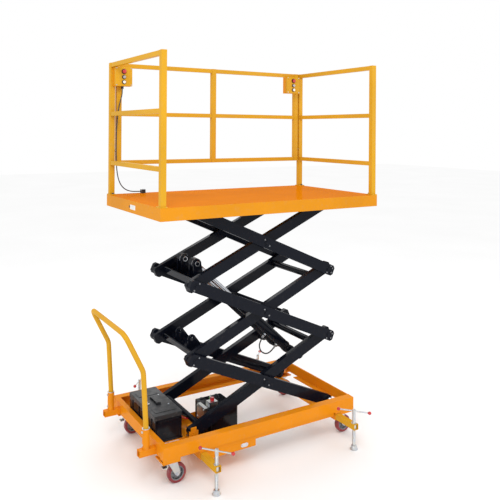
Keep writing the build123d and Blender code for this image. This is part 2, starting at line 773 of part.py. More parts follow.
# ---- guard rails ----
post_half = POST_SIZE / 2
rail_half = RAIL_SIZE / 2
GUARD_TOP = DECK_TOP + GUARD_HEIGHT
RAIL_HEIGHTS = (GUARD_HEIGHT - rail_half - 1, MID_RAIL_Z, LOW_RAIL_Z)
POST_LEFT_X = DECK_LEFT + POST_INSET_X
POST_RIGHT_X = DECK_RIGHT - POST_INSET_X
FOOT = 6.0


def capped_post(x, y, z0, z1):
    """An upright square tube, closed at its top."""
    x0 = x - post_half
    x1 = x + post_half
    y0 = y - post_half
    y1 = y + post_half
    return square_tube(x0, x1, y0, y1, z0, z1, "Z") + block(x0, x1, y0, y1, z1 - 3, z1)


def side_panel(x):
    """A guard panel across one end of the deck: two posts on feet and three rails."""
    solids = []
    for side in (-1, 1):
        y = side * POST_Y
        solids.append(capped_post(x, y, DECK_TOP + FOOT, GUARD_TOP))
        foot_y = y - side * 8
        solids.append(block(x - 26, x + 26, foot_y - 36, foot_y + 36, DECK_TOP, DECK_TOP + FOOT))
    reach = POST_Y - post_half
    for height in RAIL_HEIGHTS:
        z0 = DECK_TOP + height - rail_half
        z1 = DECK_TOP + height + rail_half
        solids.append(square_tube(x - rail_half, x + rail_half, -reach, reach, z0, z1, "Y"))
    return solids


BACK_LEFT_X = POST_LEFT_X + POST_SIZE + PANEL_GAP
BACK_RIGHT_X = POST_RIGHT_X - POST_SIZE - PANEL_GAP
BACK_MID_X = 84.0


def back_panel():
    """The guard panel along the back, with a middle post, clear of the deck."""
    solids = []
    low = DECK_TOP + LOW_RAIL_Z - rail_half
    posts = (BACK_LEFT_X, BACK_MID_X, BACK_RIGHT_X)
    for x in posts:
        solids.append(capped_post(x, POST_Y, low, GUARD_TOP))
    for x0, x1 in ((posts[0], posts[1]), (posts[1], posts[2])):
        for height in RAIL_HEIGHTS:
            z0 = DECK_TOP + height - rail_half
            z1 = DECK_TOP + height + rail_half
            y0 = POST_Y - rail_half
            y1 = POST_Y + rail_half
            solids.append(square_tube(x0 + post_half, x1 - post_half, y0, y1, z0, z1, "X"))
    return solids


write("guard_left", side_panel(POST_LEFT_X))
write("guard_right", side_panel(POST_RIGHT_X))
write("guard_back", back_panel())

fasteners = []
for x in (POST_LEFT_X, POST_RIGHT_X):
    for side in (-1, 1):
        y = side * (POST_Y - 36)
        fasteners.append(rod((x, y, DECK_TOP + FOOT), (x, y, DECK_TOP + FOOT + 9), 8))
for x in ((POST_LEFT_X + BACK_LEFT_X) / 2, (POST_RIGHT_X + BACK_RIGHT_X) / 2):
    for height in (330, 900):
        z = DECK_TOP + height
        fasteners.append(rod((x - PANEL_GAP / 2, POST_Y, z), (x + PANEL_GAP / 2, POST_Y, z), 9))


# ---- control boxes and buttons ----
BOX_WIDTH = 132.0
BOX_HEIGHT = 144.0
BOX_TOP = 2777.0
BOX_BACK = POST_Y - post_half
BOX_FRONT = BOX_BACK - 66
BUTTON_DROPS = (34.0, 76.0, 114.0)
CONTROL_X = (-722.0, 838.0)
boxes = []
for x in CONTROL_X:
    x0 = x - BOX_WIDTH / 2
    x1 = x + BOX_WIDTH / 2
    z0 = BOX_TOP - BOX_HEIGHT
    body = block(x0, x1, BOX_FRONT + 22, BOX_BACK, z0, BOX_TOP)
    body -= block(x0 + 4, x1 - 4, BOX_FRONT + 21, BOX_BACK - 4, z0 + 4, BOX_TOP - 4)
    cover = block(x0, x1, BOX_FRONT, BOX_FRONT + 18, z0, BOX_TOP)
    cover -= block(x0 + 4, x1 - 4, BOX_FRONT + 4, BOX_FRONT + 19, z0 + 4, BOX_TOP - 4)
    cover = fillet(cover.edges().filter_by(Axis.Y).group_by(SortBy.LENGTH)[-1], 3)
    for drop in BUTTON_DROPS:
        z = BOX_TOP - drop
        cover -= cross_bar(x, z, BOX_FRONT - 1, BOX_FRONT + 5, 8.3)
    gasket = block(x0 + 2, x1 - 2, BOX_FRONT + 18, BOX_FRONT + 22, z0 + 2, BOX_TOP - 2)
    gasket -= block(x0 + 8, x1 - 8, BOX_FRONT + 17, BOX_FRONT + 23, z0 + 8, BOX_TOP - 8)
    boxes += [body, cover, gasket]
write("control_boxes", boxes)

for side_name, x in zip(("left", "right"), CONTROL_X):
    for name, drop, head in zip(("stop", "up", "down"), BUTTON_DROPS, (15.0, 11.5, 11.5)):
        z = BOX_TOP - drop
        stem = cross_bar(x, z, BOX_FRONT - 6, BOX_FRONT + 14, 8)
        cap = cross_bar(x, z, BOX_FRONT - 16, BOX_FRONT - 6, head)
        cap = fillet(cap.edges().sort_by(Axis.Y)[0], 2.5)
        write("button_%s_%s" % (name, side_name), stem + cap)

# ---- control cable, from the left box's gland down to the deck's entry block ----
CABLE_RADIUS = 4.0
GLAND_X = CONTROL_X[0]
GLAND_Y = BOX_BACK - 30
BOX_BOTTOM = BOX_TOP - BOX_HEIGHT
GLAND_LENGTH = 20.0
ENTRY_X = -552.0
ENTRY_Y = 472.0
ENTRY_Z = DECK_TOP + 15.0
gland = rod((GLAND_X, GLAND_Y, BOX_BOTTOM - GLAND_LENGTH), (GLAND_X, GLAND_Y, BOX_BOTTOM), 10)
entry = block(ENTRY_X, ENTRY_X + 34, ENTRY_Y - 15, ENTRY_Y + 15, DECK_TOP, DECK_TOP + 30)
write("deck_fittings", fasteners + [gland, entry])
cable_route = [
    (GLAND_X, GLAND_Y, BOX_BOTTOM - GLAND_LENGTH),
    (GLAND_X, GLAND_Y, 2576),
    (-731, 440, 2532),
    (-744, 446, 2476),
    (-752, 450, 2408),
    (-757, 452, 2332),
    (-760, 453, 2250),
    (-761, 453, 2166),
    (-760, 452, 2084),
    (-756, 451, 2004),
    (-745, 451, 1936),
    (-722, 454, 1882),
    (-684, 460, 1846),
    (-637, 466, 1830),
    (-592, ENTRY_Y, ENTRY_Z),
    (ENTRY_X, ENTRY_Y, ENTRY_Z),
]
write("control_cable", tube_along(cable_route, CABLE_RADIUS, "control_cable"))
write("cylinder_hose", tube_along(hose_route, HOSE_RADIUS, "cylinder_hose"))
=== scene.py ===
import json
import math

import bmesh
import bpy
from mathutils import Matrix, Vector

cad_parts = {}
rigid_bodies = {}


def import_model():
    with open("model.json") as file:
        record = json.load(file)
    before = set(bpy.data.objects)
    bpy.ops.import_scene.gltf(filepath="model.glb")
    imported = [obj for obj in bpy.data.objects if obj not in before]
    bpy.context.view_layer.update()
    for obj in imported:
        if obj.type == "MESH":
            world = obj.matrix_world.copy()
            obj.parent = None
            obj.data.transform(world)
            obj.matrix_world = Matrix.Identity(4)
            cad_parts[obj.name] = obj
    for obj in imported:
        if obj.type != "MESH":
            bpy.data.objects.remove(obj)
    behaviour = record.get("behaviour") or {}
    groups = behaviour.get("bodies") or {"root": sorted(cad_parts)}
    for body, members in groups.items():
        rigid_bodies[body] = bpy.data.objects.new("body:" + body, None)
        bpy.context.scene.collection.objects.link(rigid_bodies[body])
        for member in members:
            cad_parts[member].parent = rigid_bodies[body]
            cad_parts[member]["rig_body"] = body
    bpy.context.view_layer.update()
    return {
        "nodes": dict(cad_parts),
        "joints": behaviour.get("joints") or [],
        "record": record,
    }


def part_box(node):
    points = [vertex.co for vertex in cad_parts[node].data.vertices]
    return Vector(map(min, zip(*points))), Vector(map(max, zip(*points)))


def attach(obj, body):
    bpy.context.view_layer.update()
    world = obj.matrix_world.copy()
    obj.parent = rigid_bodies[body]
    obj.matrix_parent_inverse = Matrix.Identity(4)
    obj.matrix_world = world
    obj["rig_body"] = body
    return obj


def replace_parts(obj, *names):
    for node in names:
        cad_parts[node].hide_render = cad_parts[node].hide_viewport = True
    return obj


# The looks of a mobile scissor lift table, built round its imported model.
# Lengths in this script's own lists are millimetres. Blender's are metres.
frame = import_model()
NODES = frame["nodes"]
JOINTS = {joint["name"]: joint for joint in frame["joints"]}
MM = 0.001
CORNERS = ("front_left", "back_left", "front_right", "back_right")


def joint_point(name):
    """A joint's place at rest, in millimetres."""
    return Vector(JOINTS[name]["pos_m"]) / MM


def node_box(node):
    """A node's lowest and highest corners, in millimetres."""
    low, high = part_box(node)
    return low / MM, high / MM


# ---- camera ----
CAMERA_PLACE = (-2.4102, -4.2077, 2.2997)
CAMERA_YAW = 0.5469
CAMERA_ROLL = 0.0059
camera_data = bpy.data.cameras.new("camera")
camera_data.lens = 45.93
camera_data.sensor_width = 36.0
camera_data.shift_y = -0.238
camera = bpy.data.objects.new("camera", camera_data)
bpy.context.scene.collection.objects.link(camera)
facing = Matrix.Rotation(-CAMERA_YAW, 4, "Z") @ Matrix.Rotation(math.pi / 2, 4, "X")
camera.matrix_world = (
    Matrix.Translation(CAMERA_PLACE) @ facing @ Matrix.Rotation(CAMERA_ROLL, 4, "Z")
)
bpy.context.scene.camera = camera


# ---- materials ----
def add_node(tree, kind, inputs=None, **settings):
    """A shader node with some of its inputs and settings filled in."""
    made = tree.nodes.new(kind)
    for key, value in settings.items():
        setattr(made, key, value)
    for key, value in (inputs or {}).items():
        made.inputs[key].default_value = value
    return made


def surface_coordinates(tree, stretch):
    """The model's own coordinates, in metres, stretched along its axes."""
    coordinates = add_node(tree, "ShaderNodeTexCoord")
    mapping = add_node(tree, "ShaderNodeMapping", {"Scale": stretch})
    tree.links.new(coordinates.outputs["Object"], mapping.inputs["Vector"])
    return mapping.outputs["Vector"]


def add_noise(tree, scale, detail=4.0, stretch=(1.0, 1.0, 1.0)):
    """A cloud of noise over the surface, from 0 to 1."""
    noise = add_node(tree, "ShaderNodeTexNoise", {"Scale": scale, "Detail": detail})
    tree.links.new(surface_coordinates(tree, stretch), noise.inputs["Vector"])
    return noise.outputs["Fac"]


def add_range(tree, value, low, high, new_low, new_high):
    """Maps one range of a value to another, clamped."""
    inputs = {"From Min": low, "From Max": high, "To Min": new_low, "To Max": new_high}
    mapped = add_node(tree, "ShaderNodeMapRange", inputs)
    tree.links.new(value, mapped.inputs["Value"])
    return mapped.outputs["Result"]


def add_blend(tree, factor, first, second):
    """A mix of two colours; each is a colour or another node's output."""
    mix = add_node(tree, "ShaderNodeMix", data_type="RGBA")
    tree.links.new(factor, mix.inputs["Factor"])
    for socket, value in ((mix.inputs[6], first), (mix.inputs[7], second)):
        if isinstance(value, tuple):
            socket.default_value = (*value, 1.0)
        else:
            tree.links.new(value, socket)
    return mix.outputs[2]


def add_bump(tree, height, strength, distance, below=None):
    """A bump from a height, on top of another bump if one is given."""
    bump = add_node(tree, "ShaderNodeBump", {"Strength": strength, "Distance": distance})
    tree.links.new(height, bump.inputs["Height"])
    if below:
        tree.links.new(below, bump.inputs["Normal"])
    return bump.outputs["Normal"]


def start_material(name):
    material = bpy.data.materials.new(name)
    material.use_nodes = True
    tree = material.node_tree
    return material, tree, tree.nodes["Principled BSDF"]


def shaded(colour, share):
    return tuple(channel * share for channel in colour)


def enamel(name, colour, gloss, chip, peel=0.12, coat=0.25, dusting=0.1):
    """Sprayed paint: broad shade changes, orange peel, fine dust and small chips."""
    material, tree, shader = start_material(name)
    broad = add_range(tree, add_noise(tree, 2.2, 3.0), 0.35, 0.65, 0.0, 1.0)
    tone = add_blend(tree, broad, shaded(colour, 0.93), shaded(colour, 1.03))
    dust = add_range(tree, add_noise(tree, 38.0, 6.0), 0.56, 0.75, 0.0, dusting)
    tone = add_blend(tree, dust, tone, (0.40, 0.34, 0.26))
    chips = add_range(tree, add_noise(tree, 95.0, 5.0), 0.735, 0.76, 0.0, 0.85)
    tone = add_blend(tree, chips, tone, chip)
    tree.links.new(tone, shader.inputs["Base Color"])
    rough = add_range(tree, add_noise(tree, 14.0, 5.0), 0.3, 0.7, gloss - 0.05, gloss + 0.1)
    tree.links.new(rough, shader.inputs["Roughness"])
    peeled = add_bump(tree, add_noise(tree, 260.0, 2.0), peel, 0.0006)
    chipped = add_bump(tree, chips, -0.25, 0.0004, peeled)
    tree.links.new(chipped, shader.inputs["Normal"])
    shader.inputs["Specular IOR Level"].default_value = 0.0
    shader.inputs["Coat Weight"].default_value = coat
    shader.inputs["Coat Roughness"].default_value = 0.14
    return material


def metal(name, colour, tint, low_rough, high_rough, grain_stretch=(1.0, 1.0, 1.0)):
    """Bare or plated metal with cloudy tint, fine grain and uneven gloss."""
    material, tree, shader = start_material(name)
    cloud = add_range(tree, add_noise(tree, 26.0, 4.0), 0.35, 0.65, 0.0, 1.0)
    tone = add_blend(tree, cloud, colour, tint)
    grime = add_range(tree, add_noise(tree, 70.0, 6.0), 0.58, 0.72, 0.0, 0.35)
    tone = add_blend(tree, grime, tone, (0.12, 0.11, 0.10))
    tree.links.new(tone, shader.inputs["Base Color"])
    shader.inputs["Metallic"].default_value = 1.0
    grain = add_noise(tree, 420.0, 3.0, grain_stretch)
    rough = add_range(tree, grain, 0.3, 0.7, low_rough, high_rough)
    tree.links.new(rough, shader.inputs["Roughness"])
    tree.links.new(add_bump(tree, grain, 0.06, 0.0003), shader.inputs["Normal"])
    return material


def moulded(name, colour, low_rough, high_rough, grain=0.15, coat=0.0, dust=0.2):
    """Plastic or rubber: a moulded grain, faint dust and rubbed patches."""
    material, tree, shader = start_material(name)
    broad = add_range(tree, add_noise(tree, 9.0, 4.0), 0.35, 0.65, 0.0, 1.0)
    tone = add_blend(tree, broad, shaded(colour, 0.85), shaded(colour, 1.1))
    dusty = add_range(tree, add_noise(tree, 60.0, 6.0), 0.55, 0.75, 0.0, dust)
    tone = add_blend(tree, dusty, tone, (0.42, 0.40, 0.37))
    tree.links.new(tone, shader.inputs["Base Color"])
    rough = add_range(tree, add_noise(tree, 30.0, 4.0), 0.35, 0.65, low_rough, high_rough)
    tree.links.new(rough, shader.inputs["Roughness"])
    fine = add_bump(tree, add_noise(tree, 900.0, 2.0), grain, 0.0003)
    tree.links.new(fine, shader.inputs["Normal"])
    shader.inputs["Coat Weight"].default_value = coat
    shader.inputs["Coat Roughness"].default_value = 0.08
    return material


ORANGE = enamel("orange_enamel", (0.79, 0.265, 0.008), 0.3, (0.40, 0.15, 0.04))
AMBER = enamel("amber_enamel", (0.72, 0.275, 0.010), 0.3, (0.42, 0.20, 0.05))
# A darker, redder copy of the skirt's orange, used as painted shade on the deck's top faces.
SHADED_DECK_TOP = enamel(
    "shaded_deck_top_enamel",
    (0.69, 0.20, 0.002),
    0.5,
    (0.35, 0.12, 0.03),
    peel=0.03,
    coat=0.05,
    dusting=0.04,
)
YELLOW = enamel("yellow_enamel", (0.68, 0.355, 0.020), 0.28, (0.45, 0.28, 0.07))
ARM_BLACK = enamel(
    "arm_enamel",
    (0.0050, 0.0064, 0.0120),
    0.36,
    (0.05, 0.05, 0.055),
    peel=0.15,
    coat=0.28,
    dusting=0.02,
)
ZINC = metal("zinc_plate", (0.56, 0.60, 0.66), (0.66, 0.66, 0.62), 0.26, 0.44)
# Dark steel: the bolts' own colour, and on the wheel cores partly painted shade.
DULL_AND_SHADE = metal("dull_steel_and_shade", (0.20, 0.21, 0.23), (0.28, 0.28, 0.29), 0.3, 0.5)
BRIGHT = metal("bright_steel", (0.78, 0.79, 0.81), (0.70, 0.71, 0.74), 0.1, 0.22)
CHROME = metal("chrome_rod", (0.46, 0.47, 0.50), (0.54, 0.55, 0.58), 0.05, 0.2, (1, 1, 9))
COPPER = metal("lead_terminal", (0.50, 0.49, 0.47), (0.62, 0.50, 0.30), 0.3, 0.5)
TYRE_RED = moulded("tyre_polyurethane", (0.26, 0.018, 0.026), 0.3, 0.5, grain=0.1, coat=0.2)
BLACK = moulded("black_plastic", (0.011, 0.012, 0.015), 0.38, 0.55, grain=0.22, dust=0.1)
TANK_BLACK = enamel(
    "tank_enamel",
    (0.006, 0.007, 0.011),
    0.3,
    (0.05, 0.05, 0.05),
    peel=0.15,
    coat=0.5,
    dusting=0.03,
)
RUBBER = moulded("black_rubber", (0.016, 0.016, 0.018), 0.5, 0.7, grain=0.2)
CABLE_GREY = moulded("cable_sheath", (0.035, 0.036, 0.042), 0.4, 0.55, grain=0.1)
RED = moulded("red_plastic", (0.56, 0.012, 0.016), 0.12, 0.22, grain=0.03, coat=0.7, dust=0.05)
GREY = moulded("grey_plastic", (0.42, 0.43, 0.45), 0.25, 0.35, grain=0.05, coat=0.4, dust=0.05)
WHITE = moulded("white_plastic", (0.82, 0.82, 0.79), 0.25, 0.35, grain=0.05, coat=0.3, dust=0.05)
GREEN = moulded("green_plastic", (0.16, 0.38, 0.14), 0.3, 0.4, grain=0.05, coat=0.2, dust=0.05)


# ---- mesh helpers; their lengths are millimetres ----
def side_axes(axis):
    """Two directions square to an axis and to each other."""
    first = axis.orthogonal().normalized()
    return first, axis.cross(first)


def add_lathe(bm, start, axis, profile, segments=40, twist=None):
    """Turns a profile of (radius, distance) points about an axis from a start point."""
    along = Vector(axis).normalized()
    u, v = side_axes(along)
    rings = []
    for radius, distance in profile:
        centre = Vector(start) + along * distance
        if radius < 1e-6:
            rings.append([bm.verts.new(centre * MM)])
            continue
        ring = []
        for i in range(segments):
            angle = 2 * math.pi * i / segments
            reach = radius + (twist(distance, angle) if twist else 0.0)
            spoke = u * math.cos(angle) + v * math.sin(angle)
            ring.append(bm.verts.new((centre + spoke * reach) * MM))
        rings.append(ring)
    for low, high in zip(rings, rings[1:]):
        for i in range(segments):
            j = (i + 1) % segments
            corners = [low[i % len(low)], low[j % len(low)]]
            corners += [high[j % len(high)], high[i % len(high)]]
            unique = list(dict.fromkeys(corners))
            if len(unique) > 2:
                bm.faces.new(unique)


def add_rod(bm, start, end, radius, rim=0.8, segments=36):
    """A round bar with softened rims."""
    line = Vector(end) - Vector(start)
    length = line.length
    profile = [(0, 0), (radius - rim, 0), (radius - rim * 0.3, rim * 0.3), (radius, rim)]
    profile += [(r, length - d) for r, d in reversed(profile)]
    add_lathe(bm, start, line, profile, segments)


def add_ring(bm, start, end, outer, inner, rim=0.6, segments=40):
    """A tube with softened rims."""
    line = Vector(end) - Vector(start)
    length = line.length
    profile = [(inner, rim), (inner + rim, 0), (outer - rim, 0), (outer, rim)]
    profile += [(outer, length - rim), (outer - rim, length), (inner + rim, length)]
    profile += [(inner, length - rim), (inner, rim)]
    add_lathe(bm, start, line, profile, segments)


def add_block(bm, low, high, round_by=1.0, segments=2):
    """A box between two corners with rounded edges."""
    size = Vector(high) - Vector(low)
    middle = (Vector(high) + Vector(low)) / 2
    place = Matrix.Translation(middle * MM) @ Matrix.Diagonal((*(size * MM), 1.0))
    made = bmesh.ops.create_cube(bm, size=1.0, matrix=place)
    edges = list({edge for vert in made["verts"] for edge in vert.link_edges})
    bmesh.ops.bevel(
        bm, geom=edges, offset=round_by * MM, segments=segments, profile=0.5, affect="EDGES"
    )


def add_prism(bm, outline, depth, place, round_by=0.8):
    """An outline of (x, y) points, raised by a depth, moved by a matrix in millimetres."""
    to_metres = Matrix.Diagonal((MM, MM, MM, 1.0))
    base = [bm.verts.new(to_metres @ (place @ Vector((x, y, 0.0)))) for x, y in outline]
    top = [bm.verts.new(to_metres @ (place @ Vector((x, y, depth)))) for x, y in outline]
    faces = [bm.faces.new(list(reversed(base))), bm.faces.new(top)]
    count = len(outline)
    for i in range(count):
        j = (i + 1) % count
        faces.append(bm.faces.new([base[i], base[j], top[j], top[i]]))
    rims = [edge for face in faces[:2] for edge in face.edges]
    bmesh.ops.bevel(
        bm, geom=rims, offset=round_by * MM, segments=2, profile=0.5, affect="EDGES"
    )


def add_bolt(bm, place, axis, size, washer=True):
    """A hexagon head on a washer; size is the thread's diameter."""
    along = Vector(axis).normalized()
    start = Vector(place)
    lift = 0.0
    if washer:
        add_rod(bm, start, start + along * size * 0.22, size * 1.05, 0.3, 28)
        lift = size * 0.2
    head = size * 0.92
    tall = size * 0.65
    profile = [(0, 0), (head, 0), (head, tall * 0.8), (head * 0.86, tall), (0, tall)]
    add_lathe(bm, start + along * lift, along, profile, 6)


def add_cap_screw(bm, place, axis, radius, tall):
    """A round socket head with its hollow."""
    hollow = radius * 0.5
    profile = [(0, 0), (radius, 0), (radius, tall - 0.6), (radius - 0.6, tall)]
    profile += [(hollow, tall), (hollow, tall * 0.45), (0, tall * 0.45)]
    add_lathe(bm, place, axis, profile, 24)


def finish_mesh(name, bm, body, materials, smooth=32.0):
    """Turns a bmesh into a piece that rides on a body.

    smooth is the angle above which an edge stays sharp; 0 shades every face flat."""
    bmesh.ops.recalc_face_normals(bm, faces=bm.faces)
    mesh = bpy.data.meshes.new(name)
    bm.to_mesh(mesh)
    bm.free()
    if "custom_normal" in mesh.attributes:
        mesh.attributes.remove(mesh.attributes["custom_normal"])
    for material in materials if isinstance(materials, list) else [materials]:
        mesh.materials.append(material)
    piece = bpy.data.objects.new(name, mesh)
    bpy.context.scene.collection.objects.link(piece)
    if smooth:
        mesh.shade_smooth()
        mesh.set_sharp_from_angle(angle=math.radians(smooth))
        piece.modifiers.new("weighted", "WEIGHTED_NORMAL").keep_sharp = True
    else:
        mesh.shade_flat()
    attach(piece, body)
    return piece


def body_of(node):
    return NODES[node]["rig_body"]


def slot_of(node):
    rows = frame["record"]["subparts"]
    return next(row["material_slot"] for row in rows if row["node"] == node)


def islands(bm):
    """The separate solids of a mesh, each as a list of faces."""
    left = set(bm.faces)
    found = []
    while left:
        group = [left.pop()]
        for face in group:
            for edge in face.edges:
                for other in edge.link_faces:
                    if other in left:
                        left.remove(other)
                        group.append(other)
        found.append(group)
    return found


def paint_solids(bm, pick):
    """Gives each solid of a mesh the material that pick names for its box."""
    for group in islands(bm):
        points = [vert.co / MM for face in group for vert in face.verts]
        low = Vector([min(point[i] for point in points) for i in range(3)])
        high = Vector([max(point[i] for point in points) for i in range(3)])
        for face in group:
            face.material_index = pick(low, high)


# Nodes made of flat plates and square tubes, shaded flat so that long faces stay even.
BOXY = (
    "base_frame",
    "deck_plate",
    "deck_underframe",
    "battery_box",
    "battery_lid",
    "caster_plates",
    "outrigger_arm_front_left",
    "outrigger_arm_front_right",
    "outrigger_arm_back_left",
    "outrigger_arm_back_right",
)


SHARP_EDGE = math.radians(28.0)
SEAM = 1e-6
FLAT_ENOUGH = math.radians(0.6)


def refine(node, materials, width, pick=None):
    """A finished piece in a node's place: its shape with eased edges and its own finishes.

    width is the bevel's, and pick gives a solid's material from its box."""
    bm = bmesh.new()
    bm.from_mesh(NODES[node].data)
    bmesh.ops.remove_doubles(bm, verts=bm.verts, dist=SEAM)
    bmesh.ops.dissolve_limit(bm, angle_limit=FLAT_ENOUGH, verts=bm.verts, edges=bm.edges)
    if pick:
        paint_solids(bm, pick)
    shared = [edge for edge in bm.edges if len(edge.link_faces) == 2]
    bmesh.ops.bevel(
        bm,
        geom=[edge for edge in shared if edge.calc_face_angle() > SHARP_EDGE],
        offset=width * MM,
        segments=2,
        profile=0.5,
        affect="EDGES",
        clamp_overlap=True,
    )
    name = node + ".finished"
    smooth = 0.0 if node in BOXY else 20.0
    piece = finish_mesh(name, bm, body_of(node), materials, smooth)
    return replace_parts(piece, node)


def wire(name, points, radius, body, material):
    """A short lead or hose held at both ends, smooth through its control points."""
    curve = bpy.data.curves.new(name, "CURVE")
    curve.dimensions = "3D"
    spline = curve.splines.new("NURBS")
    spline.points.add(len(points) - 1)
    for point, place in zip(spline.points, points):
        point.co = (*(Vector(place) * MM), 1.0)
    spline.order_u = 3
    spline.use_endpoint_u = True
    spline.resolution_u = 10
    curve.bevel_depth = radius * MM
    curve.bevel_resolution = 4
    curve.use_fill_caps = True
    curve.materials.append(material)
    piece = bpy.data.objects.new(name, curve)
    bpy.context.scene.collection.objects.link(piece)
    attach(piece, body)
    return piece


# ---- the control cable, from the left box's gland to the entry block ----
CABLE_ROUTE = [
    (-722, 432, 2613),
    (-722, 432, 2576),
    (-731, 440, 2532),
    (-744, 446, 2476),
    (-752, 450, 2408),
    (-757, 452, 2332),
    (-760, 453, 2250),
    (-761, 453, 2166),
    (-760, 452, 2084),
    (-756, 451, 2004),
    (-745, 451, 1936),
    (-722, 454, 1882),
    (-684, 460, 1846),
    (-637, 466, 1830),
    (-592, 472, 1826),
    (-552, 472, 1826),
]
CABLE_RADIUS = 4.0
cable = wire("control_lead", CABLE_ROUTE, CABLE_RADIUS, "deck", CABLE_GREY)
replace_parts(cable, "control_cable")

# ---- arms, measured along the rising arm of each stage ----
PIVOT_X, PIVOT_Z = -469.0, 236.0
ARM_LENGTH = 1236.0
ARM_TILT = math.radians(24.0)
STAGE_RISE = ARM_LENGTH * math.sin(ARM_TILT)
OUTER_FACE = 342.0
CYLINDER_Y = 100.0


def arm_point(stage, along, across, y=0.0):
    """A point given along and across a rising arm at rest."""
    x = PIVOT_X + along * math.cos(ARM_TILT) - across * math.sin(ARM_TILT)
    z = PIVOT_Z + (stage - 1) * STAGE_RISE
    z += along * math.sin(ARM_TILT) + across * math.cos(ARM_TILT)
    return Vector((x, y, z))


def falling_point(stage, along, across, y=0.0):
    """A point given along and across a falling arm at rest, from its upper left pin."""
    x = PIVOT_X + along * math.cos(ARM_TILT) + across * math.sin(ARM_TILT)
    z = PIVOT_Z + stage * STAGE_RISE
    z += across * math.cos(ARM_TILT) - along * math.sin(ARM_TILT)
    return Vector((x, y, z))


BARREL_FOOT = arm_point(1, 0.8 * ARM_LENGTH, -45.0)
ROD_PIN = arm_point(3, 140.0, 60.0)
BARREL_LINE = (ROD_PIN - BARREL_FOOT).normalized()
BARREL_UNDER = Vector((-BARREL_LINE.z, 0.0, BARREL_LINE.x))
BARREL_LENGTH = 700.0


def by_barrel(along, drop, y=-CYLINDER_Y):
    """A point along a barrel from its foot and below its centre line."""
    place = BARREL_FOOT + BARREL_LINE * along + BARREL_UNDER * drop
    return Vector((place.x, y, place.z))


# ---- the cylinder's jumper hose, held at both ends ----
HOSE_ROUTE = [
    by_barrel(120, 52),
    by_barrel(120, 98),
    by_barrel(146, 146),
    by_barrel(208, 158),
    by_barrel(262, 118),
    by_barrel(262, 52),
]
HOSE_RADIUS = 5.0
hose = wire("jumper_hose", HOSE_ROUTE, HOSE_RADIUS, "cylinder_barrels", RUBBER)
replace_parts(hose, "cylinder_hose")

# ---- the nodes' own shapes, with eased edges ----
DECK_TOP = 1811.0
LOOKS = {
    "orange_paint": ORANGE,
    "yellow_paint": YELLOW,
    "black_paint": ARM_BLACK,
    "zinc": ZINC,
    "chrome": CHROME,
    "black_plastic": BLACK,
}


def plain(node, width, look=None):
    """A node finished in one look, its slot's own unless another is given."""
    return refine(node, look or LOOKS[slot_of(node)], width)


plain("base_frame", 2.0)
plain("pivot_brackets", 1.5)
plain("push_handle", 0.8)
plain("handle_sockets", 1.2)
deck = plain("deck_plate", 2.2, [AMBER, SHADED_DECK_TOP])
# The top faces take the darker copy of the orange: painted shade.
for face in deck.data.polygons:
    if face.normal.z > 0.99 and face.center.z / MM > DECK_TOP - 1.0:
        face.material_index = 1
plain("deck_underframe", 1.5)
for panel in ("guard_back", "guard_left", "guard_right"):
    plain(panel, 3.2)
for stage in (1, 2, 3):
    plain("inner_arms_%d" % stage, 2.2)
    plain("outer_arms_%d" % stage, 2.2)
    plain("inner_ties_%d" % stage, 1.5)
plain("cylinder_barrels", 2.0)
# The rods' eyes are their short solids, painted like the arms.
refine(
    "cylinder_rods",
    [CHROME, ARM_BLACK],
    1.5,
    pick=lambda low, high: int((high - low).length < 200),
)
plain("base_rollers", 2.5, BRIGHT)
plain("deck_rollers", 2.5, BRIGHT)
plain("caster_plates", 1.6)
plain("batteries", 3.0, GREY)
plain("battery_box", 5.0, TANK_BLACK)
plain("battery_lid", 4.0, BLACK)
# The cable's entry block is black, and the bolts and feet are plated.
refine(
    "deck_fittings",
    [ZINC, BLACK],
    0.8,
    pick=lambda low, high: int(high.x - low.x > 15 and abs(high.y - 470) < 30),
)
# The gaskets are the thin solids and the bodies the deep ones.
refine(
    "control_boxes",
    [YELLOW, RUBBER, AMBER],
    2.5,
    pick=lambda low, high: 1 if high.y - low.y < 8 else 2 if high.y - low.y > 30 else 0,
)
refine("oil_tank", [TANK_BLACK, BLACK], 3.0, pick=lambda low, high: int(low.z > 310))
# The release knob is at the top, over the plated manifold and the painted motor.
refine(
    "pump_unit",
    [TANK_BLACK, RED, ZINC],
    1.8,
    pick=lambda low, high: 1 if low.z > 360 else 2 if low.z > 220 else 0,
)
for corner in CORNERS:
    plain("caster_fork_" + corner, 1.2)
    refine(
        "outrigger_arm_" + corner,
        [YELLOW, ZINC],
        2.4,
        pick=lambda low, high: int(high.y - low.y < 60),
    )
for corner in ("front_left", "back_left"):
    plain("brake_pedal_" + corner, 1.2)


# ---- pin washers, keepers and bolts on the outer arms ----
def keeper(plates, bolts, place, side, turn, reach=31.0):
    """A washer round a pin with a bolt either side of it, on the arm's outer face."""
    out = Vector((0.0, side, 0.0))
    face = Vector((place.x, side * OUTER_FACE, place.z))
    add_ring(plates, face, face + out * 3.0, 23.0, 15.3)
    for way in (-1, 1):
        offset = Vector((math.cos(turn) * reach * way, 0.0, math.sin(turn) * reach * way))
        add_bolt(bolts, face + offset, out, 6.0)


def retainer(plates, bolts, stage, side):
    """A bolted plate across the lower right end of an outer arm."""
    tilt = Matrix.Rotation(ARM_TILT, 4, "Y")
    stand = Matrix.Rotation(math.pi / 2 * side, 4, "X")
    centre = falling_point(stage, ARM_LENGTH + 26, 0, side * OUTER_FACE)
    place = Matrix.Translation(centre) @ tilt @ stand
    outline = [(-7, -27), (7, -27), (7, 27), (-7, 27)]
    flip = Matrix.Rotation(math.pi, 4, "X")
    add_prism(plates, outline, 4.0, place @ flip, 0.7)
    for across in (-17, 17):
        spot = falling_point(stage, ARM_LENGTH + 26, across, side * (OUTER_FACE + 4))
        add_bolt(bolts, spot, (0, side, 0), 6.0, washer=False)


